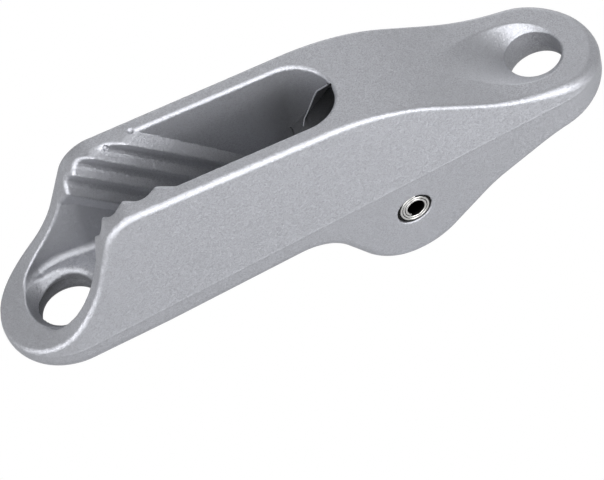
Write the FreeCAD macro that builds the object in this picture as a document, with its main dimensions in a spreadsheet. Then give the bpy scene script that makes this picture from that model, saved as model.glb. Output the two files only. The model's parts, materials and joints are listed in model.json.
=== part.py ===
import FreeCAD, Part
import math
import os

import Sketcher

V = FreeCAD.Vector

# Driving dimensions in millimetres and degrees. The pin axis is the zero of all of them:
# x runs to the head eye, z is square to the parting plane of the casting, y is across.
SIZES = {
    "heel_eye": 54.2,
    "head_eye": 27.6,
    "eye_bore": 9.0,
    "eye_lower_round": 2.4,
    "heel_setback": 0.8,
    "body_width": 20.6,
    "parting_height": 6.7,
    "draft_above": 2.5,
    "draft_below": 3.0,
    "trim_margin": 6.0,
    "heel_slope_height": 4.3,
    "foot_back": 53.5,
    "foot_height": 10.8,
    "foot_curve": 20.0,
    "crest_back": 45.6,
    "crest_height": 28.7,
    "crest_curve": 4.0,
    "brow_forward": 0.3,
    "brow_height": 23.9,
    "brow_curve": 40.0,
    "nape_forward": 20.0,
    "nape_height": 11.5,
    "nape_curve": 42.0,
    "head_slope_height": 5.6,
    "heel_underside": 2.1,
    "arch_back": 14.4,
    "arch_curve": 9.0,
    "hump_radius": 10.9,
    "keel_forward": 13.9,
    "keel_depth": 4.0,
    "keel_curve": 18.0,
    "chin_forward": 24.9,
    "chin_depth": 0.1,
    "chin_curve": 30.0,
    "head_underside": 3.5,
    "slot_width": 13.3,
    "slot_draft": 1.2,
    "slot_heel": 54.6,
    "slot_head": 11.3,
    "slot_floor": 8.6,
    "slot_top": 30.0,
    "slot_floor_round": 1.1,
    "tooth_slant": 47.0,
    "tooth_start": 6.0,
    "tooth_first_crest": 8.3,
    "tooth_pitch": 3.6,
    "tooth_face": 2.2,
    "tooth_crest_width": 10.0,
    "tooth_root_width": 12.8,
    "tooth_back_width": 16.0,
    "cavity_width": 12.8,
    "cavity_radius": 10.0,
    "cavity_foot": 16.9,
    "cavity_peak_back": 4.0,
    "cavity_peak": 18.5,
    "head_bell_height": 8.1,
    "head_bell_curve": 2.5,
    "head_bell_reach": 7.0,
    "head_bell_rise": 6.0,
    "head_bell_lip_reach": 2.0,
    "head_bell_lip_rise": 5.0,
    "heel_bell_height": 7.7,
    "heel_bell_curve": 1.2,
    "heel_bell_reach": 1.2,
    "heel_bell_rise": 1.2,
    "heel_bell_lip_reach": 0.5,
    "heel_bell_lip_rise": 3.0,
    "pin_diameter": 5.3,
    "pin_strip": 0.5,
    "pin_layer_gap": 0.1,
    "pin_inset": 0.7,
    "pin_turn_angle": 150.0,
    "pin_hole_gap": 0.02,
    "pin_mouth_inset": 0.75,
    "pin_mouth_flare": 4.0,
    "roller_diameter": 9.5,
    "roller_radial_gap": 0.06,
    "roller_side_gap": 0.25,
    "roller_round": 0.6,
    "standing_tilt": 11.8,
}

TOOTH_COUNT = 4
HALF_TURNS = 4

doc = FreeCAD.newDocument("jam_cleat")
sheet = doc.addObject("Spreadsheet::Sheet", "sizes")
for row, (name, value) in enumerate(SIZES.items(), start=1):
    cell = f"A{row}"
    sheet.set(cell, str(value))
    sheet.setAlias(cell, name)
doc.recompute()


def number(term):
    """The value of a sum of named sizes, such as 'head_eye + body_width / 2'."""
    total = 0.0
    sign = 1.0
    value = 0.0
    dividing = False
    for word in term.split():
        if word in ("+", "-"):
            total += sign * value
            value = 0.0
            sign = 1.0 if word == "+" else -1.0
        elif word == "/":
            dividing = True
        elif dividing:
            value /= float(word)
            dividing = False
        else:
            value = SIZES[word] if word in SIZES else float(word)
    return total + sign * value


def bind(thing, path, term):
    """Ties a property of a feature to the same sum on the sheet."""
    words = ["sizes." + word if word in SIZES else word for word in term.split()]
    thing.setExpression(path, " ".join(words))


def new_body(name):
    return doc.addObject("PartDesign::Body", name)


def new_sketch(body, name, role="XZ_Plane"):
    sketch = body.newObject("Sketcher::SketchObject", name)
    plane = [part for part in body.Origin.OriginFeatures if part.Role == role][0]
    sketch.AttachmentSupport = [(plane, "")]
    sketch.MapMode = "FlatFace"
    return sketch


def add_feature(body, kind, name, sketch=None):
    feature = body.newObject("PartDesign::" + kind, name)
    if sketch is not None:
        feature.Profile = sketch
        sketch.Visibility = False
    return feature


def hold(sketch, kind, item, spot, term, label):
    """Holds one coordinate of a point, or a radius, at a sum of named sizes."""
    if kind == "Radius":
        constraint = Sketcher.Constraint(kind, item, number(term))
    else:
        constraint = Sketcher.Constraint(kind, -1, 1, item, spot, number(term))
    index = sketch.addConstraint(constraint)
    sketch.renameConstraint(index, label)
    bind(sketch, "Constraints." + label, term)


def round_the_zero(before, after, radius, turn):
    """Where the tangents from two points to a circle about the sketch's zero cross."""
    angles = []
    for point, side in ((before, turn), (after, -turn)):
        opening = math.acos(radius / point.Length)
        angles.append(math.atan2(point.y, point.x) + side * opening)
    sweep = ((angles[1] - angles[0]) * turn) % (2 * math.pi)
    middle = angles[0] + turn * sweep / 2
    return V(math.cos(middle), math.sin(middle), 0) * (radius / math.cos(sweep / 2))


def outline(sketch, corners, prefix=""):
    """A closed outline through corners (x term, y term, radius term or None).

    A corner (None, turn, radius term) is an arc about the sketch's zero that runs
    tangent to both neighbours, counter-clockwise where turn is 1.
    """
    count = len(corners)
    points = [None if x is None else V(number(x), number(y), 0) for x, y, _ in corners]
    for i, (x, turn, radius) in enumerate(corners):
        if x is None:
            after = points[(i + 1) % count]
            points[i] = round_the_zero(points[i - 1], after, number(radius), turn)
    entries = []
    exits = []
    centres = []
    for i, (_, _, radius) in enumerate(corners):
        here = points[i]
        back = (points[i - 1] - here).normalize()
        ahead = (points[(i + 1) % count] - here).normalize()
        size = 0.0 if radius is None else number(radius)
        half = back.getAngle(ahead) / 2
        entries.append(here + back * (size / math.tan(half)))
        exits.append(here + ahead * (size / math.tan(half)))
        centres.append(here + (back + ahead).normalize() * (size / math.sin(half)))
    lines = []
    for i in range(count):
        segment = Part.LineSegment(exits[i], entries[(i + 1) % count])
        lines.append(sketch.addGeometry(segment))
    for i, (x, y, radius) in enumerate(corners):
        before = lines[i - 1]
        after = lines[i]
        if radius is None:
            sketch.addConstraint(Sketcher.Constraint("Coincident", before, 2, after, 1))
            hold(sketch, "DistanceX", after, 1, x, f"{prefix}x{i}")
            hold(sketch, "DistanceY", after, 1, y, f"{prefix}y{i}")
            continue
        to_entry = entries[i] - centres[i]
        to_exit = exits[i] - centres[i]
        first = math.atan2(to_entry.y, to_entry.x)
        last = math.atan2(to_exit.y, to_exit.x)
        leftward = to_entry.cross(to_exit).z > 0
        low, high = (first, last) if leftward else (last, first)
        if high < low:
            high += 2 * math.pi
        circle = Part.Circle(centres[i], V(0, 0, 1), number(radius))
        arc = sketch.addGeometry(Part.ArcOfCircle(circle, low, high))
        entry_end, exit_end = (1, 2) if leftward else (2, 1)
        sketch.addConstraint(Sketcher.Constraint("Tangent", before, 2, arc, entry_end))
        sketch.addConstraint(Sketcher.Constraint("Tangent", arc, exit_end, after, 1))
        hold(sketch, "Radius", arc, 0, radius, f"{prefix}r{i}")
        if x is None:
            sketch.addConstraint(Sketcher.Constraint("Coincident", arc, 3, -1, 1))
            continue
        corner = sketch.addGeometry(Part.Point(points[i]), True)
        sketch.addConstraint(Sketcher.Constraint("PointOnObject", corner, 1, before))
        sketch.addConstraint(Sketcher.Constraint("PointOnObject", corner, 1, after))
        hold(sketch, "DistanceX", corner, 1, x, f"{prefix}x{i}")
        hold(sketch, "DistanceY", corner, 1, y, f"{prefix}y{i}")


def stadium(body, name, height, heel, head, radius):
    """A long round-ended outline at a height above the pin axis."""
    sketch = new_sketch(body, name, "XY_Plane")
    bind(sketch, "AttachmentOffset.Base.z", height)
    left = V(number(heel), 0, 0)
    right = V(number(head), 0, 0)
    size = number(radius)
    up = V(0, size, 0)
    right_circle = Part.Circle(right, V(0, 0, 1), size)
    left_circle = Part.Circle(left, V(0, 0, 1), size)
    near = sketch.addGeometry(Part.LineSegment(left - up, right - up))
    front = sketch.addGeometry(Part.ArcOfCircle(right_circle, -math.pi / 2, math.pi / 2))
    far = sketch.addGeometry(Part.LineSegment(right + up, left + up))
    rear = sketch.addGeometry(Part.ArcOfCircle(left_circle, math.pi / 2, 3 * math.pi / 2))
    for before, after in ((near, front), (front, far), (far, rear), (rear, near)):
        sketch.addConstraint(Sketcher.Constraint("Tangent", before, 2, after, 1))
    sketch.addConstraint(Sketcher.Constraint("Horizontal", near))
    sketch.addConstraint(Sketcher.Constraint("PointOnObject", front, 3, -1))
    sketch.addConstraint(Sketcher.Constraint("PointOnObject", rear, 3, -1))
    hold(sketch, "DistanceX", front, 3, head, "head")
    hold(sketch, "DistanceX", rear, 3, heel, "heel")
    hold(sketch, "Radius", front, 0, radius, "radius")
    return sketch


def edges_at(shape, near, facing=None):
    """Names of the edges that run along a surface, next to a face that looks up or down.

    near(point) is true on the surface. The face next to the edge lies square to the
    side view and looks up where facing is 1 and down where it is -1.
    """
    names = []
    for i, edge in enumerate(shape.Edges, start=1):
        middle = edge.valueAt((edge.FirstParameter + edge.LastParameter) / 2)
        if not all(near(point) for point in [vertex.Point for vertex in edge.Vertexes] + [middle]):
            continue
        for face in shape.ancestorsOfType(edge, Part.Face):
            normal = face.normalAt(*face.Surface.parameter(middle))
            if facing is None or (abs(normal.y) < 1e-4 and normal.z * facing > 0.3):
                names.append(f"Edge{i}")
                break
    return names


def add_fillet(body, name, radius, near, facing=None):
    base = body.Tip
    fillet = add_feature(body, "Fillet", name)
    fillet.Base = (base, edges_at(base.Shape, near, facing))
    bind(fillet, "Radius", radius)
    doc.recompute()


# The casting: a long round-ended block drafted both ways from the parting plane
cleat = new_body("cleat_body")
heel_term = "- heel_eye - heel_setback"
plan = stadium(cleat, "plan", "parting_height", heel_term, "head_eye", "body_width / 2")
upper = add_feature(cleat, "Pad", "upper_half", plan)
bind(upper, "Length", "slot_top - parting_height")
bind(upper, "TaperAngle", "- draft_above")
lower = add_feature(cleat, "Pad", "lower_half", plan)
lower.Reversed = True
bind(lower, "Length", "parting_height + hump_radius + trim_margin / 2")
bind(lower, "TaperAngle", "- draft_below")
doc.recompute()

# The rope slot, open upward, with a round along its floor
slot_plan = stadium(cleat, "slot_plan", "slot_top", "- slot_heel", "- slot_head", "slot_width / 2")
slot = add_feature(cleat, "Pocket", "rope_slot", slot_plan)
bind(slot, "Length", "slot_top - slot_floor")
bind(slot, "TaperAngle", "- slot_draft")
doc.recompute()
floor_height = number("slot_floor")
add_fillet(cleat, "slot_floor_edge", "slot_floor_round", lambda p: abs(p.z - floor_height) < 0.01)

# Saw teeth on both walls of the slot, slanting down toward the head
tooth_plan = new_sketch(cleat, "tooth_plan", "YZ_Plane")
tooth_plan.AttachmentOffset = FreeCAD.Placement(V(0, 0, 0), FreeCAD.Rotation(V(1, 0, 0), number("tooth_slant")))
bind(tooth_plan, "AttachmentOffset.Rotation.Angle", "tooth_slant")
for side, sign in (("far", ""), ("near", "- ")):
    corners = [(sign + "tooth_root_width / 2", "- tooth_start", None)]
    for tooth in range(TOOTH_COUNT):
        along = "- tooth_first_crest" + " - tooth_pitch" * tooth
        corners.append((sign + "tooth_crest_width / 2", along, None))
        corners.append((sign + "tooth_root_width / 2", along + " - tooth_face", None))
    corners.append((sign + "tooth_back_width / 2", corners[-1][1], None))
    corners.append((sign + "tooth_back_width / 2", "- tooth_start", None))
    outline(tooth_plan, corners, side)
teeth = add_feature(cleat, "Pad", "teeth", tooth_plan)
teeth.Reversed = True
bind(teeth, "Length", "heel_eye + heel_setback")
doc.recompute()

# The top and the underside, seen from the side, trim the block and the teeth
heel_limit = "- heel_eye - heel_setback - body_width / 2 - trim_margin"
head_limit = "head_eye + body_width / 2 + trim_margin"
top_plan = new_sketch(cleat, "top_plan")
outline(top_plan, [
    (heel_limit, "heel_slope_height", None),
    ("- foot_back", "foot_height", "foot_curve"),
    ("- crest_back", "crest_height", "crest_curve"),
    ("brow_forward", "brow_height", "brow_curve"),
    ("nape_forward", "nape_height", "nape_curve"),
    (head_limit, "head_slope_height", None),
    (head_limit, "slot_top + trim_margin + trim_margin", None),
    (heel_limit, "slot_top + trim_margin + trim_margin", None),
])
under_plan = new_sketch(cleat, "under_plan")
outline(under_plan, [
    (heel_limit, "heel_underside", None),
    ("- arch_back", "heel_underside", "arch_curve"),
    (None, 1, "hump_radius"),
    ("keel_forward", "- keel_depth", "keel_curve"),
    ("chin_forward", "- chin_depth", "chin_curve"),
    (head_limit, "head_underside", None),
    (head_limit, "- hump_radius - trim_margin", None),
    (heel_limit, "- hump_radius - trim_margin", None),
])
for name, profile in (("top_cut", top_plan), ("under_cut", under_plan)):
    cut = add_feature(cleat, "Pocket", name, profile)
    cut.Midplane = True
    bind(cut, "Length", "body_width + trim_margin")
    doc.recompute()

# The cavity round the roller, open below, with a slanted back that leads the rope up
cavity_plan = new_sketch(cleat, "cavity_plan")
outline(cavity_plan, [
    ("- cavity_foot", "heel_underside", None),
    ("- cavity_peak_back", "cavity_peak", None),
    (None, -1, "cavity_radius"),
    ("cavity_radius", "- hump_radius - trim_margin", None),
    ("- cavity_foot", "- hump_radius - trim_margin", None),
])
cavity = add_feature(cleat, "Pocket", "roller_cavity", cavity_plan)
cavity.Midplane = True
bind(cavity, "Length", "cavity_width")
doc.recompute()


def add_eye(name, centre, bell):
    """A bore through one end of the casting, opening upward in a bell."""
    sketch = new_sketch(cleat, name + "_plan")
    rim = centre + " + eye_bore / 2"
    brim = rim + f" + {bell}_reach"
    brim_height = f"{bell}_height + {bell}_rise"
    lip = brim + f" + {bell}_lip_reach"
    outline(sketch, [
        (centre, "- trim_margin", None),
        (rim, "- trim_margin", None),
        (rim, bell + "_height", bell + "_curve"),
        (brim, brim_height, None),
        (lip, brim_height + f" + {bell}_lip_rise", None),
        (lip, "slot_top + trim_margin", None),
        (centre, "slot_top + trim_margin", None),
    ])
    start = V(number(centre), -number("trim_margin"), 0)
    axis = sketch.addGeometry(Part.LineSegment(start, start + V(0, 1, 0)), True)
    sketch.addConstraint(Sketcher.Constraint("Vertical", axis))
    hold(sketch, "DistanceX", axis, 1, centre, "axis")
    hold(sketch, "DistanceY", axis, 1, "- trim_margin", "axis_foot")
    hold(sketch, "DistanceY", axis, 2, "trim_margin", "axis_head")
    eye = add_feature(cleat, "Groove", name, sketch)
    eye.ReferenceAxis = (sketch, ["Axis0"])
    eye.Angle = 360
    doc.recompute()
    middle = number(centre)
    radius = number("eye_bore / 2")
    add_fillet(cleat, name + "_edge", "eye_lower_round",
               lambda p: abs(math.hypot(p.x - middle, p.y) - radius) < 0.02, -1)


add_eye("heel_eye_bore", "- heel_eye", "heel_bell")
add_eye("head_eye_bore", "head_eye", "head_bell")

# The hole for the pin through both cheeks, flared at its mouths
hole_plan = new_sketch(cleat, "pin_hole_plan", "XY_Plane")
far_mouth = "body_width / 2 - pin_mouth_inset"
near_mouth = "pin_mouth_inset - body_width / 2"
wall = "pin_diameter / 2 + pin_hole_gap"
flare = wall + " + pin_mouth_flare"
outline(hole_plan, [
    (wall, near_mouth, None),
    (flare, near_mouth + " - pin_mouth_flare", None),
    ("0", near_mouth + " - pin_mouth_flare", None),
    ("0", far_mouth + " + pin_mouth_flare", None),
    (flare, far_mouth + " + pin_mouth_flare", None),
    (wall, far_mouth, None),
])
hole = add_feature(cleat, "Groove", "pin_hole", hole_plan)
hole.ReferenceAxis = (hole_plan, ["V_Axis"])
hole.Angle = 360
doc.recompute()

# The coiled pin: a strip wound in half turns about two centres
pin = new_body("axle_pin")
coil = new_sketch(pin, "coil")
bind(coil, "AttachmentOffset.Rotation.Angle", "pin_turn_angle")
layer = number("pin_strip + pin_layer_gap")
ends = []
for side, inset in (("outer", ""), ("inner", " - pin_strip")):
    arcs = []
    for k in range(HALF_TURNS + 1):
        term = "pin_diameter / 2" + inset + " - pin_strip / 2 - pin_layer_gap / 2" * k
        centre = V(-layer / 2, 0, 0) if k % 2 else V(0, 0, 0)
        first = math.pi if k % 2 else 0.0
        sweep = math.pi / 2 if k == HALF_TURNS else math.pi
        circle = Part.Circle(centre, V(0, 0, 1), number(term))
        arc = coil.addGeometry(Part.ArcOfCircle(circle, first, first + sweep))
        if arcs:
            coil.addConstraint(Sketcher.Constraint("Tangent", arcs[-1], 2, arc, 1))
        else:
            coil.addConstraint(Sketcher.Constraint("Coincident", arc, 3, -1, 1))
            coil.addConstraint(Sketcher.Constraint("PointOnObject", arc, 1, -1))
        coil.addConstraint(Sketcher.Constraint("PointOnObject", arc, 2, -2 if k == HALF_TURNS else -1))
        hold(coil, "Radius", arc, 0, term, f"{side}{k}")
        arcs.append(arc)
    ends.append((arcs[0], arcs[-1]))
for which, spot in ((0, 1), (1, 2)):
    outside = coil.getPoint(ends[0][which], spot)
    inside = coil.getPoint(ends[1][which], spot)
    lip = coil.addGeometry(Part.LineSegment(outside, inside))
    coil.addConstraint(Sketcher.Constraint("Coincident", ends[0][which], spot, lip, 1))
    coil.addConstraint(Sketcher.Constraint("Coincident", ends[1][which], spot, lip, 2))
strip = add_feature(pin, "Pad", "strip", coil)
strip.Midplane = True
bind(strip, "Length", "body_width - pin_inset - pin_inset")
doc.recompute()

# The roller that turns on the pin inside the cavity
roller = new_body("roller")
roller_plan = new_sketch(roller, "roller_plan", "XY_Plane")
bore = "pin_diameter / 2 + roller_radial_gap"
half = "cavity_width / 2 - roller_side_gap"
outline(roller_plan, [
    (bore, "roller_side_gap - cavity_width / 2", None),
    ("roller_diameter / 2", "roller_side_gap - cavity_width / 2", "roller_round"),
    ("roller_diameter / 2", half, "roller_round"),
    (bore, half, None),
])
turned = add_feature(roller, "Revolution", "turned", roller_plan)
turned.ReferenceAxis = (roller_plan, ["V_Axis"])
turned.Angle = 360
doc.recompute()

# The casting stands on the floor, tilted on its heel so that the hump is just clear
level = FreeCAD.Rotation(V(0, 1, 0), -number("standing_tilt"))
turned_points = [level.multVec(point) for point in cleat.Shape.tessellate(0.02)[0]]
lowest = min(point.z for point in turned_points)
leftmost = min(point.x for point in turned_points)
rightmost = max(point.x for point in turned_points)
shift = V(round(-(leftmost + rightmost) / 2, 2), 0, round(-lowest, 2))
standing = FreeCAD.Placement(shift, level)

os.makedirs("parts", exist_ok=True)
for feature in doc.Objects:
    if "Invalid" in feature.State or "Error" in feature.State:
        raise RuntimeError(feature.Name + " did not build")
for body in (cleat, pin, roller):
    body.Placement = standing
doc.recompute()
for body in (cleat, pin, roller):
    if body.Shape.isNull() or not body.Shape.isValid():
        raise RuntimeError(body.Name + " is not a sound solid")
    body.Label = body.Name
    body.Shape.exportStep(f"parts/{body.Name}.step")
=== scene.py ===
import json
import math

import bpy
import numpy as np
from mathutils import Matrix, Vector


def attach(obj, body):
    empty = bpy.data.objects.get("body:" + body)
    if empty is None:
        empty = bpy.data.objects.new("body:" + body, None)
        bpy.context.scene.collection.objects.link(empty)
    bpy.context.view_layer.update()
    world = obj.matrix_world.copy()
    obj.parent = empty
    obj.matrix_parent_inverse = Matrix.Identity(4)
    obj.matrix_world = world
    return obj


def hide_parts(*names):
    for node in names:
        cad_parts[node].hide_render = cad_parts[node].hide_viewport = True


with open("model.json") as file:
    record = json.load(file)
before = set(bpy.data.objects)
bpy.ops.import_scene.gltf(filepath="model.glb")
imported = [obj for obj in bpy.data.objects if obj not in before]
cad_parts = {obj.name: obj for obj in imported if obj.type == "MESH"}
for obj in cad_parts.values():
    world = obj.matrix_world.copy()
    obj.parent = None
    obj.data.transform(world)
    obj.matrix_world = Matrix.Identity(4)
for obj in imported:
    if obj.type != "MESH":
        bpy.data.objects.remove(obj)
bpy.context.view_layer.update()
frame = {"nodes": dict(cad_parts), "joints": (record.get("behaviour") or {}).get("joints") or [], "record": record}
nodes = frame["nodes"]
scene = bpy.context.scene
MM = 0.001

# The casting's own frame has its zero on the pin's axis and stands tilted in the row frame.
# Its x runs from the heel to the head, y across and z up. The casting's sizes are in millimetres.
PIN = Vector(frame["joints"][0]["pos_m"])
HEEL_AXIS = Vector(frame["record"]["mounts"][0]["axis"])
TILT = math.asin(-HEEL_AXIS.x)
LEAN = Matrix.Rotation(-TILT, 4, "Y")
BODY = Matrix.Translation(PIN) @ LEAN

# Camera, fitted to the photograph in the casting's own frame; its distance is in metres
CAMERA_TILT = math.radians(12.9)
AZIMUTH = math.radians(-25.3)
ELEVATION = math.radians(45.5)
DISTANCE = 0.7
PIXELS_PER_MM = 6.48
FRAME_WIDTH = 604
FRAME_HEIGHT = 480
AIM = (-13.3, 0.0, 10.0)
PIN_PIXEL = (387.2, 167.2)

# Outer form: two eyes, with walls that lean in both ways from the parting line
HEEL_END = -55.0
HEEL_EYE = -54.2
HEAD_EYE = 27.6
HALF_WIDTH = 10.27
PARTING = 6.7
SEAM_HEIGHT = 0.02
SEAM_WIDTH = 0.16
DRAFT_ABOVE = math.tan(math.radians(2.5))
DRAFT_BELOW = math.tan(math.radians(3.0))
HEEL_TOP_SLOPE = math.tan(math.radians(20))
PAST_HEEL = -72.0
PAST_HEAD = 44.0
HUMP_RADIUS = 10.9
HUMP_STEPS = 40
ARCH = (-14.4, 2.1)
ARCH_ROUND = 9.0
KEEL = (13.9, -4.0)
KEEL_ROUND = 18.0
UNDER_HEAD = (24.9, -0.1)
UNDER_HEAD_ROUND = 30.0
HEAD_TIP_HEIGHT = 3.5

# Rounds of the outer edges, as pairs of place along the casting and radius
TOP_ROUND = (
    (-56.0, 0.65),
    (-50.0, 0.75),
    (-44.0, 0.95),
    (-20.0, 0.9),
    (-5.0, 0.8),
    (4.0, 0.65),
    (16.0, 0.6),
    (24.0, 1.0),
    (34.0, 1.6),
)
BOTTOM_ROUND = ((-58.0, 3.2), (-42.0, 2.2), (-14.0, 2.0), (-4.0, 1.2))

# Rope channel, with the pocket round the heel eye; floor and rim change along the casting
SLOT_HEAD = -11.3
SLOT_TOP = 30.0
SLOT_HALF_WIDTH = 6.65
SLOT_DRAFT = math.tan(math.radians(1.2))
SLOT_FLOOR = ((-61.0, 9.0), (-56.0, 7.9), (-48.0, 8.6))
SLOT_RIM_ROUND = ((-60.0, 0.4), (-50.5, 0.45), (-48.0, 0.75), (-30.0, 0.65))
FLOOR_ROUND = 1.2
POCKET_RADIUS = 6.8
POCKET_DRAFT = 0.05
POCKET_BLEND = 2.5

# Ridges on the channel's walls, measured down their slant
TOOTH_COUNT = 4
TOOTH_SLANT = math.radians(47.0)
TOOTH_PITCH = 3.6
TOOTH_FACE = 2.0
FIRST_CREST = 8.3
NEAR_TEETH_SHIFT = 0.45
CREST_HALF_WIDTH = 4.95
CREST_ROUND = 0.35
VALLEY_HALF_WIDTH = 6.75
VALLEY_ROUND = 1.2
TEETH_START = 6.5
TEETH_END = 21.9
TEETH_END_HALF_WIDTH = 6.6
TEETH_END_ROUND = 0.5
BEFORE_TEETH = 3.0
AFTER_TEETH = 25.0
WITHIN_WALL = 8.4

# Roller cavity and the throat by which it opens into the channel's head end
CAVITY_RADIUS = 10.0
CAVITY_STEPS = 14
CAVITY_BACK = -16.9
CAVITY_PEAK = (-4.0, 18.5)
CAVITY_HALF_WIDTH = 6.4
CAVITY_ROUND = 0.7
THROAT_BACK = ((10.0, -0.8), (18.0, -1.8), (24.0, -4.2))
WELL_BELOW = -20.0

# Eyes at both ends
BORE_RADIUS = 4.5
FUNNEL_FOOT = ((-59.5, 5.9), (-57.0, 6.4), (-52.0, 7.7))
FUNNEL_SLOPE = ((-59.5, 1.28), (-57.0, 1.15), (-52.0, 1.05))
FUNNEL_TOP = 9.8
FUNNEL_ROUND = 0.25
HEEL_MIDDLE = 6.2
HEEL_UPPER_ROUND = 0.2
HEEL_LOWER_ROUND = 3.2
BELL_FOOT = 8.3
BELL_FOOT_ROUND = 0.3
BELL_LIP = (14.5, 15.82)
BORE_FOOT = -15.0
HEAD_MIDDLE = 5.8
HEAD_LIP_SOFTNESS = 0.12
HEAD_LOWER_ROUND = 4.0

# Coiled pin and the hole that it sits in
PIN_HOLE_RADIUS = 2.67
PIN_MOUTH_RADIUS = 2.98
PIN_MOUTH_AT = (-0.08, -0.06)
PIN_MOUTH_DEPTH = 8.4
PIN_MOUTH_ROUND = 0.12
PIN_RADIUS = 2.7
PIN_SEAT = (0.12, -0.15)
PIN_HALF_LENGTH = 9.74
PIN_TURNS = 2.41
STRIP = 0.34
STRIP_BEVEL = 0.05
STRIP_PITCH = 0.44
STRIP_START = math.radians(81.0)
STRIP_STEPS = 240
# Rings in the gap round the pin, near-black: painted shadow.
GAP_DEPTH = 9.5
GAP_INNER_RADIUS = 2.25
GAP_OVERLAP = 0.05
GAP_STEPS = 64

# Two small pits on the far rim, as place and radius
NICKS = (((-35.0, 6.9, 27.75), 0.62), ((-39.6, 6.4, 27.3), 0.5))

# The thin line of flash where two cores met, in the round end of the channel. Its points were picked
# by eye in the photograph, laid on the surface by a scratch program, rounded and moved a little by hand.
FLASH_RADIUS = 0.13
FLASH = (
    (-4.9, 0.8, 23.3),
    (-5.45, 2.6, 21.1),
    (-6.2, 3.9, 19.5),
    (-6.8, 4.55, 17.8),
    (-7.4, 5.05, 16.1),
    (-8.9, 6.25, 12.2),
    (-9.3, 6.4, 10.6),
)

# Fineness of the casting's mesh
CELL = 0.27
SKIN_LOW = (-66.2, -11.0, -12.2)
SKIN_HIGH = (38.9, 11.0, 30.2)
ARC_STEP = 0.5
SLOPE_STEP = 0.004
HOLD_TO_MIDDLE = 0.06
FURTHEST_MOVE = 0.6
KEPT_TRIANGLES = 190000

# Finishes; places along the part and the reach of the shading are in metres, as Blender has them.
# How far hidden places darken along the part as painted shade, in the table of levels below, was set against the
# photograph.
CAST_COLOR = (0.42, 0.427, 0.456)
CAST_ROUGHNESS = 0.57
GRAINS_PER_METRE = 6600.0
GRAIN_TILT = 0.27
GRAIN_TONE = (0.88, 1.12)
# Painted shade: these set how the casting's colour is darkened in hollows, from an ambient-occlusion node and by
# place along the part.
PAINTED_SHADE_REACH = 0.014
PAINTED_SHADE_FROM = 0.2
PAINTED_SHADE_TO = 0.75
PAINTED_SHADE_SAMPLES = 8
PAINTED_SHADE_LOW = -0.055
PAINTED_SHADE_HIGH = 0.055
PAINTED_SHADE_ALONG = (
    (-0.0407, 0.9),
    (-0.03685, 0.6),
    (-0.033, 0.2),
    (-0.0198, 0.25),
    (-0.0066, 0.5),
    (0.0011, 0.85),
    (0.0066, 1.0),
    (0.011, 1.0),
    (0.0165, 0.4),
    (0.0308, 0.08),
)
STEEL_COLOR = (0.66, 0.655, 0.64)
STEEL_ROUGHNESS = 0.32
# Painted shade of the pin: how its colour darkens where the turns of the strip hide it.
STEEL_PAINTED_SHADE_REACH = 0.004
STEEL_PAINTED_SHADE_FROM = 0.4
STEEL_PAINTED_SHADE_TO = 0.85
STEEL_PAINTED_SHADE_DARKEST = 0.03
FLASH_COLOR = (0.75, 0.76, 0.8)
FLASH_ROUGHNESS = 0.5
# Painted shadow in the gap round the pin: a near-black ring that hardly shines.
GAP_SHADOW_COLOR = (0.008, 0.008, 0.008)
GAP_SHADOW_ROUGHNESS = 0.9
GAP_SHADOW_SHINE = 0.05
PLASTIC_COLOR = (0.03, 0.03, 0.032)
PLASTIC_ROUGHNESS = 0.5

# Floor and lights, in metres. A lamp has its bearing and height in degrees, then its power.
# Bearing 0 is behind the camera and 90 to its right; the near lamp also has its distance.
# The powers are those that a least-squares fit of renders, with one lamp each, to the photograph gave.
FLOOR_HALF = 3.0
FLOOR_GREY = (0.4, 0.4, 0.4, 1.0)
WHITE = (1.0, 1.0, 1.0, 1.0)
LIGHT_DISTANCE = 1.1
LIGHT_SIZE = 0.7
LIGHT_AIM = (0.0, 0.0, 0.015)
LAMPS = (
    ("front", 0, 8, 8.2),
    ("front_right", 45, 8, 2.6),
    ("front_left", -45, 8, 10.6),
    ("high_front_right", 45, 35, 8.9),
    ("top_front", 0, 62, 6.4),
    ("overhead", 0, 85, 2.7),
    ("back", 180, 8, 3.4),
    ("back_high", 180, 35, 1.6),
    ("back_right", 135, 8, 1.7),
    ("back_left", 225, 8, 1.3),
    ("top_back_left", 240, 62, 0.9),
    ("left", -90, 8, 1.3),
)
NEAR_LAMP = ("near_right", 60, 10, 0.18, 0.22)


def in_row(x, y, z):
    """A point of the casting's own frame, in millimetres, as metres in the row frame."""
    return BODY @ Vector((x * MM, y * MM, z * MM))


def add_object(name, data):
    """An object at the origin of the scene."""
    new = bpy.data.objects.new(name, data)
    scene.collection.objects.link(new)
    return new


# Lines that the casting's shape is made from

def bend(corners):
    """A line through corners, where a corner that has a radius becomes an arc."""
    line = []
    for i, (x, y, radius) in enumerate(corners):
        here = np.array([x, y])
        if not radius:
            line.append(here)
            continue
        back = np.array(corners[i - 1][:2]) - here
        ahead = np.array(corners[i + 1][:2]) - here
        back = back / np.hypot(*back)
        ahead = ahead / np.hypot(*ahead)
        opening = math.acos(float(np.clip(back @ ahead, -1.0, 1.0)))
        middle = back + ahead
        centre = here + middle / np.hypot(*middle) * radius / math.sin(opening / 2)
        start = here + back * radius / math.tan(opening / 2) - centre
        turn = math.pi - opening
        if back[0] * ahead[1] - back[1] * ahead[0] > 0:
            turn = -turn
        steps = max(3, math.ceil(abs(turn) * radius / ARC_STEP))
        for angle in np.linspace(0.0, turn, steps + 1):
            c = math.cos(angle)
            s = math.sin(angle)
            line.append(centre + np.array([c * start[0] - s * start[1], s * start[0] + c * start[1]]))
    return np.array(line)


def arc_about_pin(radius, first, last, count):
    """Points of an arc about the pin's axis, seen from the side."""
    angles = np.linspace(first, last, count)
    return [(radius * math.cos(angle), radius * math.sin(angle)) for angle in angles]


def touch(point, radius, way):
    """The angle at which a line from a point touches a circle about the pin."""
    return math.atan2(point[1], point[0]) + way * math.acos(radius / np.hypot(*point))


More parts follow.
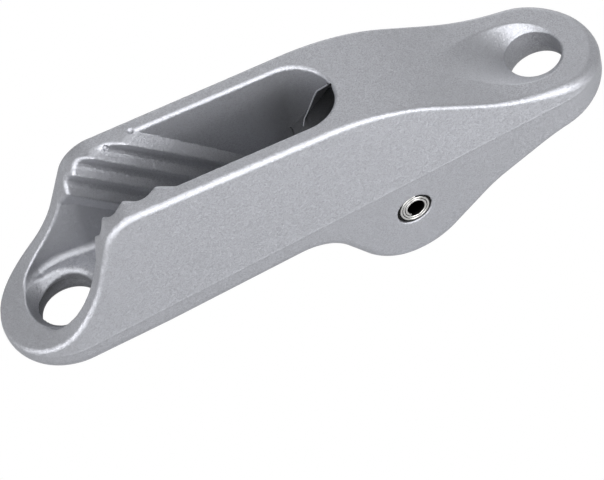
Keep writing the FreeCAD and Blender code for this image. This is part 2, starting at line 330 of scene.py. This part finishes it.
def under_line():
    """The underside, where the hump is a circle about the pin."""
    first = touch(ARCH, HUMP_RADIUS, 1)
    last = touch(KEEL, HUMP_RADIUS, -1)
    if last < first:
        last += 2 * math.pi
    hump = arc_about_pin(HUMP_RADIUS, first, last, HUMP_STEPS)
    before = bend([(PAST_HEEL, ARCH[1], 0), (*ARCH, ARCH_ROUND), (*hump[0], 0)])
    after = bend([
        (*hump[-1], 0),
        (*KEEL, KEEL_ROUND),
        (*UNDER_HEAD, UNDER_HEAD_ROUND),
        (PAST_HEAD, HEAD_TIP_HEIGHT, 0),
    ])
    return np.vstack([before[:-1], hump, after[1:]])


def cavity_line():
    """The roller cavity from the side: a slanted back, a peak and a round about the pin."""
    arc = arc_about_pin(CAVITY_RADIUS, touch(CAVITY_PEAK, CAVITY_RADIUS, -1), 0.0, CAVITY_STEPS)
    back = [(CAVITY_BACK, WELL_BELOW), (CAVITY_BACK, ARCH[1]), CAVITY_PEAK]
    return np.array(back + arc + [(CAVITY_RADIUS, WELL_BELOW)])


def tooth_line():
    """The channel's half width down the ridges: crest, face and valley of each tooth."""
    corners = [(BEFORE_TEETH, WITHIN_WALL, 0), (TEETH_START, TEETH_END_HALF_WIDTH, TEETH_END_ROUND)]
    for tooth in range(TOOTH_COUNT):
        crest = FIRST_CREST + TOOTH_PITCH * tooth
        corners.append((crest, CREST_HALF_WIDTH, CREST_ROUND))
        corners.append((crest + TOOTH_FACE, VALLEY_HALF_WIDTH, VALLEY_ROUND))
    corners[-1] = (TEETH_END, TEETH_END_HALF_WIDTH, TEETH_END_ROUND)
    corners.append((AFTER_TEETH, WITHIN_WALL, 0))
    return bend(corners)


TOP_LINE = bend([
    (PAST_HEEL, 10.84 + (PAST_HEEL + 53.5) * HEEL_TOP_SLOPE, 0),
    (-53.5, 10.8, 20.0),
    (-45.6, 28.66, 5.8),
    (0.3, 23.9, 40.0),
    (20.0, 11.5, 42.0),
    (PAST_HEAD, 5.6, 0),
])
UNDER_LINE = under_line()
CAVITY_LINE = cavity_line()
TOOTH_LINE = tooth_line()
BELL_LINE = bend([
    (BORE_RADIUS, BORE_FOOT, 0),
    (BORE_RADIUS, BELL_FOOT, BELL_FOOT_ROUND),
    (*BELL_LIP, 0),
])

# The throat seen from the heel: half width and height
THROAT_LINE = np.array([
    (0.0, 23.9),
    (0.8, 23.4),
    (2.6, 21.1),
    (3.9, 19.5),
    (4.55, 17.8),
    (5.05, 16.1),
    (6.25, 12.2),
    (6.4, 10.6),
    (6.4, 4.0),
])


# Signed distances

def value_at(pairs, place):
    """A size that changes with a place, read from pairs of place and size."""
    places, sizes = zip(*pairs)
    return np.interp(place, places, sizes)


def past(line, u, v, beyond):
    """Signed distance to a line of straight pieces, more than zero where beyond is true."""
    best = np.full(np.broadcast(u, v).shape, 1e9)
    for p, q in zip(line[:-1], line[1:]):
        d = q - p
        t = np.clip(((u - p[0]) * d[0] + (v - p[1]) * d[1]) / (d @ d), 0.0, 1.0)
        best = np.minimum(best, (u - p[0] - t * d[0]) ** 2 + (v - p[1] - t * d[1]) ** 2)
    return np.sqrt(best) * np.where(beyond, 1.0, -1.0)


def round_max(a, b, radius):
    """Where two shapes overlap, with a round along their common edge."""
    inner = np.minimum(np.maximum(a, b), -radius)
    return inner + np.hypot(np.maximum(a + radius, 0.0), np.maximum(b + radius, 0.0))


def soft_max(a, b, width):
    """Where two shapes overlap, softened where both are about as near."""
    near = np.maximum(width - np.abs(a - b), 0.0)
    return np.maximum(a, b) + near * near / (4.0 * width)


def outer_form(x, y, z):
    """The drafted walls between the top line and the underside."""
    rise = z - PARTING
    radius = HALF_WIDTH - np.where(rise > 0, rise * DRAFT_ABOVE, -rise * DRAFT_BELOW)
    radius = radius + SEAM_HEIGHT * np.exp(-(rise / SEAM_WIDTH) ** 2)
    wall = np.hypot(x - np.clip(x, HEEL_END, HEAD_EYE), y) - radius
    top = past(TOP_LINE, x, z, z > value_at(TOP_LINE, x))
    under = past(UNDER_LINE, x, z, z < value_at(UNDER_LINE, x))
    solid = round_max(wall, top, value_at(TOP_ROUND, x))
    return round_max(solid, under, value_at(BOTTOM_ROUND, x))


def channel(x, y, z):
    """The open rope channel, less than zero in the air between its ridged walls."""
    half_width = SLOT_HALF_WIDTH - (SLOT_TOP - z) * SLOT_DRAFT
    slot = np.hypot(x - np.clip(x, HEEL_EYE, SLOT_HEAD), y) - half_width
    pocket = np.hypot(x - HEEL_EYE, y) - POCKET_RADIUS - (z - PARTING) * POCKET_DRAFT
    slot = -round_max(-slot, -pocket, POCKET_BLEND)
    slot = round_max(slot, value_at(SLOT_FLOOR, x) - z, FLOOR_ROUND)
    aside = np.abs(y)
    down = -x * math.sin(TOOTH_SLANT) - z * math.cos(TOOTH_SLANT)
    down = down + np.where(y < 0, NEAR_TEETH_SHIFT, 0.0)
    teeth = past(TOOTH_LINE, down, aside, aside <= value_at(TOOTH_LINE, down))
    return np.maximum(slot, -teeth)


def roller_cavity(x, y, z):
    """The room of the roller, less than zero in the air."""
    within = (x > CAVITY_BACK) & (x < CAVITY_RADIUS) & (z < value_at(CAVITY_LINE[1:-1], x))
    return round_max(past(CAVITY_LINE, x, z, ~within), np.abs(y) - CAVITY_HALF_WIDTH, CAVITY_ROUND)


def throat(x, y, z):
    """The way from the roller cavity into the channel, less than zero in the air."""
    aside = np.abs(y)
    half = value_at(THROAT_LINE[::-1, ::-1], z)
    within = (aside < half) & (z < THROAT_LINE[0, 1])
    open_way = past(THROAT_LINE, aside, z, ~within)
    open_way = np.maximum(open_way, x - value_at(THROAT_BACK, z))
    return np.maximum(open_way, SLOT_HEAD - x)


def with_heel_eye(solid, x, y, z):
    """The casting with the heel eye's bore and the cone that leads into it."""
    aside = np.hypot(x - HEEL_EYE, y)
    slope = value_at(FUNNEL_SLOPE, x)
    funnel = (z - value_at(FUNNEL_FOOT, x)) / slope - (aside - BORE_RADIUS)
    funnel = funnel / np.hypot(1.0, 1.0 / slope)
    funnel = np.minimum(funnel, np.minimum(FUNNEL_TOP - z, POCKET_RADIUS - aside))
    solid = round_max(solid, funnel, FUNNEL_ROUND)
    edge_round = np.where(z > HEEL_MIDDLE, HEEL_UPPER_ROUND, HEEL_LOWER_ROUND)
    return round_max(solid, BORE_RADIUS - aside, edge_round)


def with_head_eye(solid, x, y, z):
    """The casting with the head eye's bore and bell mouth."""
    aside = np.hypot(x - HEAD_EYE, y)
    bell = past(BELL_LINE, aside, z, aside <= value_at(BELL_LINE[:, ::-1], z))
    upper = soft_max(solid, bell, HEAD_LIP_SOFTNESS)
    lower = round_max(solid, bell, HEAD_LOWER_ROUND)
    return np.where(z > HEAD_MIDDLE, upper, lower)


def with_pin_hole(solid, x, y, z):
    """The casting with the pin's hole and its wider mouths."""
    hole = PIN_HOLE_RADIUS - np.hypot(x, z)
    mouth = PIN_MOUTH_RADIUS - np.hypot(x - PIN_MOUTH_AT[0], z - PIN_MOUTH_AT[1])
    hole = np.where(np.abs(y) > PIN_MOUTH_DEPTH, np.maximum(hole, mouth), hole)
    return round_max(solid, hole, PIN_MOUTH_ROUND)


def casting(x, y, z):
    """Signed distance to the casting's skin, less than zero in the metal."""
    solid = round_max(outer_form(x, y, z), -channel(x, y, z), value_at(SLOT_RIM_ROUND, x))
    solid = round_max(solid, -roller_cavity(x, y, z), CAVITY_ROUND)
    solid = np.maximum(solid, -throat(x, y, z))
    solid = with_heel_eye(solid, x, y, z)
    solid = with_head_eye(solid, x, y, z)
    for place, radius in NICKS:
        away = np.sqrt((x - place[0]) ** 2 + (y - place[1]) ** 2 + (z - place[2]) ** 2)
        solid = np.maximum(solid, radius - away)
    return with_pin_hole(solid, x, y, z)


# From signed distance to mesh

def slopes(shape, spots):
    """The way out of the shape at points near its skin, one unit long."""
    slope = np.zeros_like(spots)
    for corner in ((1, 1, 1), (1, -1, -1), (-1, 1, -1), (-1, -1, 1)):
        tip = np.array(corner) * SLOPE_STEP
        moved = spots + tip
        slope += tip * shape(moved[:, 0], moved[:, 1], moved[:, 2])[:, None]
    return slope / np.linalg.norm(slope, axis=1)[:, None]


def crossings(field, axes, axis, cell):
    """Where grid lines along one axis meet the skin, and the four cells round each such spot."""
    low = [slice(None)] * 3
    high = [slice(None)] * 3
    low[axis] = slice(0, -1)
    high[axis] = slice(1, None)
    inside = field < 0
    crossed = np.argwhere(inside[tuple(low)] != inside[tuple(high)])
    step = np.eye(3, dtype=int)
    start = field[tuple(crossed.T)]
    end = field[tuple((crossed + step[axis]).T)]
    spots = np.stack([axes[k][crossed[:, k]] for k in range(3)], axis=1)
    spots[:, axis] += start / (start - end) * cell
    one = step[(axis + 1) % 3]
    two = step[(axis + 2) % 3]
    around = [crossed - one - two, crossed - two, crossed, crossed - one]
    cells = np.stack([np.ravel_multi_index(tuple(corner.T), field.shape) for corner in around], axis=1)
    cells = np.where((start < 0)[:, None], cells, cells[:, ::-1])
    return spots, cells


def settle(spots, slope, corners, count, cell):
    """One point a cell, drawn from the middle of its spots to where their tangent planes meet."""

    def gather(values):
        return sum(np.bincount(corners[:, k], values, count) for k in range(4))

    share = gather(np.ones(len(spots)))
    middle = np.stack([gather(spots[:, k]) for k in range(3)], axis=1) / share[:, None]
    square = np.zeros((count, 3, 3))
    pull = np.zeros((count, 3))
    for k in range(4):
        owner = corners[:, k]
        drop = (slope * (spots - middle[owner])).sum(axis=1)
        for a in range(3):
            pull[:, a] += np.bincount(owner, slope[:, a] * drop, count)
            for b in range(3):
                square[:, a, b] += np.bincount(owner, slope[:, a] * slope[:, b], count)
    square += np.eye(3) * (HOLD_TO_MIDDLE * share)[:, None, None]
    move = np.linalg.solve(square, pull[:, :, None])[:, :, 0]
    furthest = FURTHEST_MOVE * cell
    return middle + np.clip(move, -furthest, furthest)


def skin(shape, lows, highs, cell):
    """Points and four-sided faces on the skin of a shape given by its signed distance."""
    axes = [np.arange(low, high + cell, cell) for low, high in zip(lows, highs)]
    field = shape(*np.meshgrid(*axes, indexing="ij", sparse=True))
    found = [crossings(field, axes, axis, cell) for axis in range(3)]
    spots = np.vstack([spots for spots, cells in found])
    cells = np.vstack([cells for spots, cells in found])
    known, faces = np.unique(cells.ravel(), return_inverse=True)
    faces = faces.reshape(cells.shape)
    return settle(spots, slopes(shape, spots), faces, len(known), cell), faces


def fine_mesh(name, points, faces):
    """A mesh of four-sided faces through points in millimetres."""
    mesh = bpy.data.meshes.new(name)
    mesh.vertices.add(len(points))
    mesh.vertices.foreach_set("co", (points * MM).astype(np.float32).ravel())
    mesh.loops.add(faces.size)
    mesh.loops.foreach_set("vertex_index", faces.astype(np.int32).ravel())
    mesh.polygons.add(len(faces))
    mesh.polygons.foreach_set("loop_start", np.arange(0, faces.size, 4, dtype=np.int32))
    mesh.update(calc_edges=True)
    mesh.validate()
    return mesh


def thinned(mesh, triangles):
    """The same surface with fewer triangles."""
    full = add_object("full", mesh)
    thin = full.modifiers.new("thin", "DECIMATE")
    thin.ratio = triangles / (2 * len(mesh.polygons))
    graph = bpy.context.evaluated_depsgraph_get()
    thinner = bpy.data.meshes.new_from_object(full.evaluated_get(graph))
    bpy.data.objects.remove(full)
    return thinner


def cast_body():
    """The casting's mesh in the row frame, shaded by the true slope of its skin."""
    points, faces = skin(casting, SKIN_LOW, SKIN_HIGH, CELL)
    mesh = thinned(fine_mesh("casting", points, faces), KEPT_TRIANGLES)
    spots = np.empty(3 * len(mesh.vertices), dtype=np.float32)
    mesh.vertices.foreach_get("co", spots)
    normals = slopes(casting, spots.reshape(-1, 3).astype(float) / MM) @ np.array(BODY.to_3x3()).T
    mesh.transform(BODY)
    mesh.polygons.foreach_set("use_smooth", np.ones(len(mesh.polygons), dtype=bool))
    mesh.normals_split_custom_set_from_vertices(normals)
    return mesh


def flash_tube():
    """A thin tube along the line of flash."""
    curve = bpy.data.curves.new("flash_path", "CURVE")
    curve.dimensions = "3D"
    curve.bevel_depth = FLASH_RADIUS * MM
    curve.bevel_resolution = 2
    path = curve.splines.new("POLY")
    path.points.add(len(FLASH) - 1)
    for point, spot in zip(path.points, FLASH):
        point.co = (*in_row(*spot), 1.0)
    line = add_object("flash_path", curve)
    bpy.context.view_layer.update()
    mesh = bpy.data.meshes.new_from_object(line)
    bpy.data.objects.remove(line)
    return mesh


def coiled_strip():
    """The pin: a strip wound inward as a spiral, with its long edges broken by a small bevel."""
    half = STRIP / 2
    long = PIN_HALF_LENGTH
    bevel = STRIP_BEVEL
    section = (
        (-half, bevel - long),
        (bevel - half, -long),
        (half - bevel, -long),
        (half, bevel - long),
        (half, long - bevel),
        (half - bevel, long),
        (bevel - half, long),
        (-half, long - bevel),
    )
    spots = []
    sides = []
    for k in range(STRIP_STEPS + 1):
        turned = PIN_TURNS * k / STRIP_STEPS
        angle = STRIP_START + 2 * math.pi * turned
        middle = PIN_RADIUS - half - STRIP_PITCH * turned
        for step, aside in section:
            across = PIN_SEAT[0] + (middle + step) * math.cos(angle)
            height = PIN_SEAT[1] + (middle + step) * math.sin(angle)
            spots.append(in_row(across, aside, height))
    count = len(section)
    for k in range(STRIP_STEPS):
        for i in range(count):
            here = k * count + i
            beside = k * count + (i + 1) % count
            sides.append((here, beside, beside + count, here + count))
    sides.append(tuple(range(count))[::-1])
    sides.append(tuple(range(STRIP_STEPS * count, (STRIP_STEPS + 1) * count)))
    mesh = bpy.data.meshes.new("coiled_pin")
    mesh.from_pydata(spots, [], sides)
    return mesh


def gap_shadow_rings():
    """Near-black rings between the pin and both mouths of its hole, standing in for the gap's shadow as painted
    shadow.
    """
    rings = ((GAP_INNER_RADIUS, PIN_SEAT), (PIN_MOUTH_RADIUS + GAP_OVERLAP, PIN_MOUTH_AT))
    spots = []
    sides = []
    for aside in (-GAP_DEPTH, GAP_DEPTH):
        first = len(spots)
        for radius, centre in rings:
            for k in range(GAP_STEPS):
                turn = 2 * math.pi * k / GAP_STEPS
                across = centre[0] + radius * math.cos(turn)
                height = centre[1] + radius * math.sin(turn)
                spots.append(in_row(across, aside, height))
        for k in range(GAP_STEPS):
            here = first + k
            after = first + (k + 1) % GAP_STEPS
            sides.append((here, after, after + GAP_STEPS, here + GAP_STEPS))
    mesh = bpy.data.meshes.new("pin_gap")
    mesh.from_pydata(spots, [], sides)
    return mesh


# Materials

def add_node(tree, kind, values=(), **settings):
    """A shader node with its settings and the values of its sockets."""
    new = tree.nodes.new("ShaderNode" + kind)
    for name, setting in settings.items():
        setattr(new, name, setting)
    for socket, value in values:
        new.inputs[socket].default_value = value
    return new


def principled(name, color, metallic, roughness):
    """A material of one colour, with its tree and its shader."""
    material = bpy.data.materials.new(name)
    material.use_nodes = True
    shader = material.node_tree.nodes["Principled BSDF"]
    shader.inputs["Base Color"].default_value = (*color, 1.0)
    shader.inputs["Metallic"].default_value = metallic
    shader.inputs["Roughness"].default_value = roughness
    return material, material.node_tree, shader


def grained_normal(tree, grain):
    """The surface's own normal, tipped a little another way in each grain."""
    centred = add_node(tree, "VectorMath", [(1, (0.5, 0.5, 0.5))], operation="SUBTRACT")
    tip = add_node(tree, "VectorMath", [("Scale", GRAIN_TILT)], operation="SCALE")
    surface = add_node(tree, "NewGeometry")
    tipped = add_node(tree, "VectorMath", operation="ADD")
    unit = add_node(tree, "VectorMath", operation="NORMALIZE")
    tree.links.new(grain.outputs["Color"], centred.inputs[0])
    tree.links.new(centred.outputs["Vector"], tip.inputs[0])
    tree.links.new(surface.outputs["Normal"], tipped.inputs[0])
    tree.links.new(tip.outputs["Vector"], tipped.inputs[1])
    tree.links.new(tipped.outputs["Vector"], unit.inputs[0])
    return unit.outputs["Vector"]


def painted_shade_strength_along(tree, place):
    """How strongly the painted shade darkens hidden places, by their place along the part."""
    split = add_node(tree, "SeparateXYZ")
    along = add_node(tree, "MapRange", [("From Min", PAINTED_SHADE_LOW), ("From Max", PAINTED_SHADE_HIGH)])
    ramp = add_node(tree, "ValToRGB")
    steps = [((at - PAINTED_SHADE_LOW) / (PAINTED_SHADE_HIGH - PAINTED_SHADE_LOW), level) for at, level in PAINTED_SHADE_ALONG]
    stops = ramp.color_ramp.elements
    for stop, (position, level) in zip(stops, (steps[0], steps[-1])):
        stop.position = position
        stop.color = (level, level, level, 1)
    for position, level in steps[1:-1]:
        stops.new(position).color = (level, level, level, 1)
    tree.links.new(place.outputs["Object"], split.inputs["Vector"])
    tree.links.new(split.outputs["X"], along.inputs["Value"])
    tree.links.new(along.outputs["Result"], ramp.inputs["Fac"])
    return ramp.outputs["Color"]


def painted_hollow_shade(tree, place):
    """Painted shade: a colour factor from one in the open down to zero deep in the channel, the eyes and the
    cavity.
    """
    hidden = add_node(tree, "AmbientOcclusion", [("Distance", PAINTED_SHADE_REACH)], only_local=True)
    hidden.samples = PAINTED_SHADE_SAMPLES
    limits = [("From Min", PAINTED_SHADE_FROM), ("From Max", PAINTED_SHADE_TO), ("To Min", 1.0), ("To Max", 0.0)]
    dusk = add_node(tree, "MapRange", limits)
    dark = add_node(tree, "Math", operation="MULTIPLY")
    light = add_node(tree, "Math", [(0, 1.0)], operation="SUBTRACT")
    tree.links.new(hidden.outputs["AO"], dusk.inputs["Value"])
    tree.links.new(dusk.outputs["Result"], dark.inputs[0])
    tree.links.new(painted_shade_strength_along(tree, place), dark.inputs[1])
    tree.links.new(dark.outputs["Value"], light.inputs[1])
    return light.outputs["Value"]


def cast_silver():
    """Bead-blasted cast aluminium: each grain tips the surface and has its own tone; the colour is also darkened
    in hollows as painted shade.
    """
    material, tree, shader = principled("casting", CAST_COLOR, 1.0, CAST_ROUGHNESS)
    place = add_node(tree, "TexCoord")
    grain = add_node(tree, "TexVoronoi", [("Scale", GRAINS_PER_METRE)])
    split = add_node(tree, "SeparateColor")
    glint = add_node(tree, "MapRange", [("To Min", GRAIN_TONE[0]), ("To Max", GRAIN_TONE[1])])
    grain_tone_and_painted_shade = add_node(tree, "Math", operation="MULTIPLY")
    tone = add_node(tree, "VectorMath", [(0, CAST_COLOR)], operation="SCALE")
    tree.links.new(place.outputs["Object"], grain.inputs["Vector"])
    tree.links.new(grained_normal(tree, grain), shader.inputs["Normal"])
    tree.links.new(grain.outputs["Color"], split.inputs["Color"])
    tree.links.new(split.outputs["Red"], glint.inputs["Value"])
    # Painted shade: the darkening of hollows scales the casting's colour, together with the grain's tone.
    tree.links.new(painted_hollow_shade(tree, place), grain_tone_and_painted_shade.inputs[0])
    tree.links.new(glint.outputs["Result"], grain_tone_and_painted_shade.inputs[1])
    tree.links.new(grain_tone_and_painted_shade.outputs["Value"], tone.inputs["Scale"])
    tree.links.new(tone.outputs["Vector"], shader.inputs["Base Color"])
    return material


def pin_steel():
    """Bright steel whose colour is darkened between the turns of the strip and inside the coil, as painted shade.
    """
    material, tree, shader = principled("pin_steel", STEEL_COLOR, 1.0, STEEL_ROUGHNESS)
    # Painted shade: an ambient-occlusion node darkens the steel's colour where the turns hide it.
    buried = add_node(tree, "AmbientOcclusion", [("Distance", STEEL_PAINTED_SHADE_REACH)], only_local=True)
    limits = [("From Min", STEEL_PAINTED_SHADE_FROM), ("From Max", STEEL_PAINTED_SHADE_TO), ("To Min", STEEL_PAINTED_SHADE_DARKEST)]
    depth = add_node(tree, "MapRange", limits)
    tone = add_node(tree, "VectorMath", [(0, STEEL_COLOR)], operation="SCALE")
    tree.links.new(buried.outputs["AO"], depth.inputs["Value"])
    tree.links.new(depth.outputs["Result"], tone.inputs["Scale"])
    tree.links.new(tone.outputs["Vector"], shader.inputs["Base Color"])
    return material


def flash_metal():
    """The bare metal of the flash, brighter than the blasted skin."""
    return principled("flash", FLASH_COLOR, 1.0, FLASH_ROUGHNESS)[0]


def gap_shadow_black():
    """Nearly black and hardly shining: the painted shadow in the gap round the pin."""
    material, tree, shader = principled("gap_shadow_black", GAP_SHADOW_COLOR, 0.0, GAP_SHADOW_ROUGHNESS)
    shader.inputs["Specular IOR Level"].default_value = GAP_SHADOW_SHINE
    return material


def roller_plastic():
    """Black plastic."""
    return principled("roller_plastic", PLASTIC_COLOR, 0.0, PLASTIC_ROUGHNESS)[0]


def paper():
    """White to the camera and grey to the part."""
    material = bpy.data.materials.new("paper")
    material.use_nodes = True
    tree = material.node_tree
    tree.nodes.clear()
    seen = add_node(tree, "LightPath")
    white = add_node(tree, "Emission", [("Color", WHITE)])
    grey = add_node(tree, "BsdfDiffuse", [("Color", FLOOR_GREY)])
    mix = add_node(tree, "MixShader")
    out = add_node(tree, "OutputMaterial")
    tree.links.new(seen.outputs["Is Camera Ray"], mix.inputs["Fac"])
    tree.links.new(grey.outputs["BSDF"], mix.inputs[1])
    tree.links.new(white.outputs["Emission"], mix.inputs[2])
    tree.links.new(mix.outputs["Shader"], out.inputs["Surface"])
    return material


def white_world():
    """A world that is white to the camera and gives no light."""
    world = bpy.data.worlds.new("world")
    world.use_nodes = True
    tree = world.node_tree
    background = tree.nodes["Background"]
    background.inputs["Color"].default_value = WHITE
    seen = add_node(tree, "LightPath")
    tree.links.new(seen.outputs["Is Camera Ray"], background.inputs["Strength"])
    return world


# Camera, whose shift brings the pin's axis to its pixel
as_photographed = Matrix.Rotation(-CAMERA_TILT, 4, "Y")
away = Vector((-math.sin(AZIMUTH), math.cos(AZIMUTH), 0.0))
turn = LEAN @ as_photographed.inverted()
right = turn @ Vector((math.cos(AZIMUTH), math.sin(AZIMUTH), 0.0))
up = turn @ (away * math.sin(ELEVATION) + Vector((0, 0, math.cos(ELEVATION))))
forward = turn @ (away * math.cos(ELEVATION) - Vector((0, 0, math.sin(ELEVATION))))
aim = in_row(*AIM)
to_pin = PIN - aim
depth = DISTANCE + to_pin.dot(forward)
focal_pixels = PIXELS_PER_MM * 1000 * DISTANCE
pin_right = to_pin.dot(right) * focal_pixels / depth
pin_down = -to_pin.dot(up) * focal_pixels / depth
aim_pixel = (PIN_PIXEL[0] - pin_right, PIN_PIXEL[1] - pin_down)

lens = bpy.data.cameras.new("camera")
lens.type = "PERSP"
lens.sensor_fit = "HORIZONTAL"
lens.sensor_width = 36.0
lens.lens = focal_pixels * lens.sensor_width / FRAME_WIDTH
lens.shift_x = (FRAME_WIDTH / 2 - aim_pixel[0]) / FRAME_WIDTH
lens.shift_y = (aim_pixel[1] - FRAME_HEIGHT / 2) / FRAME_WIDTH
lens.clip_start = 0.01
lens.clip_end = 10.0
camera = add_object("camera", lens)
facing = Matrix((right, up, -forward)).transposed()
camera.matrix_world = Matrix.Translation(aim - forward * DISTANCE) @ facing.to_4x4()
scene.camera = camera

# The casting
casting_mesh = cast_body()
casting_mesh.materials.append(cast_silver())
body = add_object("casting", casting_mesh)
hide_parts("cleat_body")
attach(body, "cleat")

# The line of flash
flash_mesh = flash_tube()
flash_mesh.materials.append(flash_metal())
flash = add_object("flash_line", flash_mesh)
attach(flash, "cleat")

# The coiled pin, a little low in its hole
pin_mesh = coiled_strip()
pin_mesh.materials.append(pin_steel())
pin = add_object("coiled_pin", pin_mesh)
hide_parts("axle_pin")
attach(pin, "cleat")

# The gap round the pin, filled with a near-black ring as painted shadow
gap_mesh = gap_shadow_rings()
gap_mesh.materials.append(gap_shadow_black())
gap = add_object("pin_gap", gap_mesh)
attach(gap, "cleat")

# The roller keeps its CAD shape
plastic = roller_plastic()
for slot in nodes["roller"].material_slots:
    slot.material = plastic

# The floor
floor_mesh = bpy.data.meshes.new("floor")
floor_corners = [(FLOOR_HALF * x, FLOOR_HALF * y, 0) for x, y in ((-1, -1), (1, -1), (1, 1), (-1, 1))]
floor_mesh.from_pydata(floor_corners, [], [(0, 1, 2, 3)])
floor_mesh.materials.append(paper())
floor = add_object("floor", floor_mesh)


def lamp_at(name, bearing, height, power, distance=LIGHT_DISTANCE):
    """A square soft light, at a bearing and a height in degrees, that faces the part."""
    light = bpy.data.lights.new(name, "AREA")
    light.shape = "SQUARE"
    light.size = LIGHT_SIZE * distance / LIGHT_DISTANCE
    light.energy = power
    lamp = add_object(name, light)
    flat_away = Vector((forward.x, forward.y, 0)).normalized()
    flat_right = Vector((flat_away.y, -flat_away.x, 0))
    round_by = math.radians(bearing)
    up_by = math.radians(height)
    flat = flat_right * math.sin(round_by) - flat_away * math.cos(round_by)
    way = flat * math.cos(up_by) + Vector((0, 0, math.sin(up_by)))
    lamp.location = way * distance + Vector(LIGHT_AIM)
    lamp.rotation_euler = (-way).to_track_quat("-Z", "Y").to_euler()


# Lights and the plain white behind the part
for lamp in LAMPS:
    lamp_at(*lamp)
lamp_at(*NEAR_LAMP)
scene.world = white_world()
scene.view_settings.view_transform = "Standard"
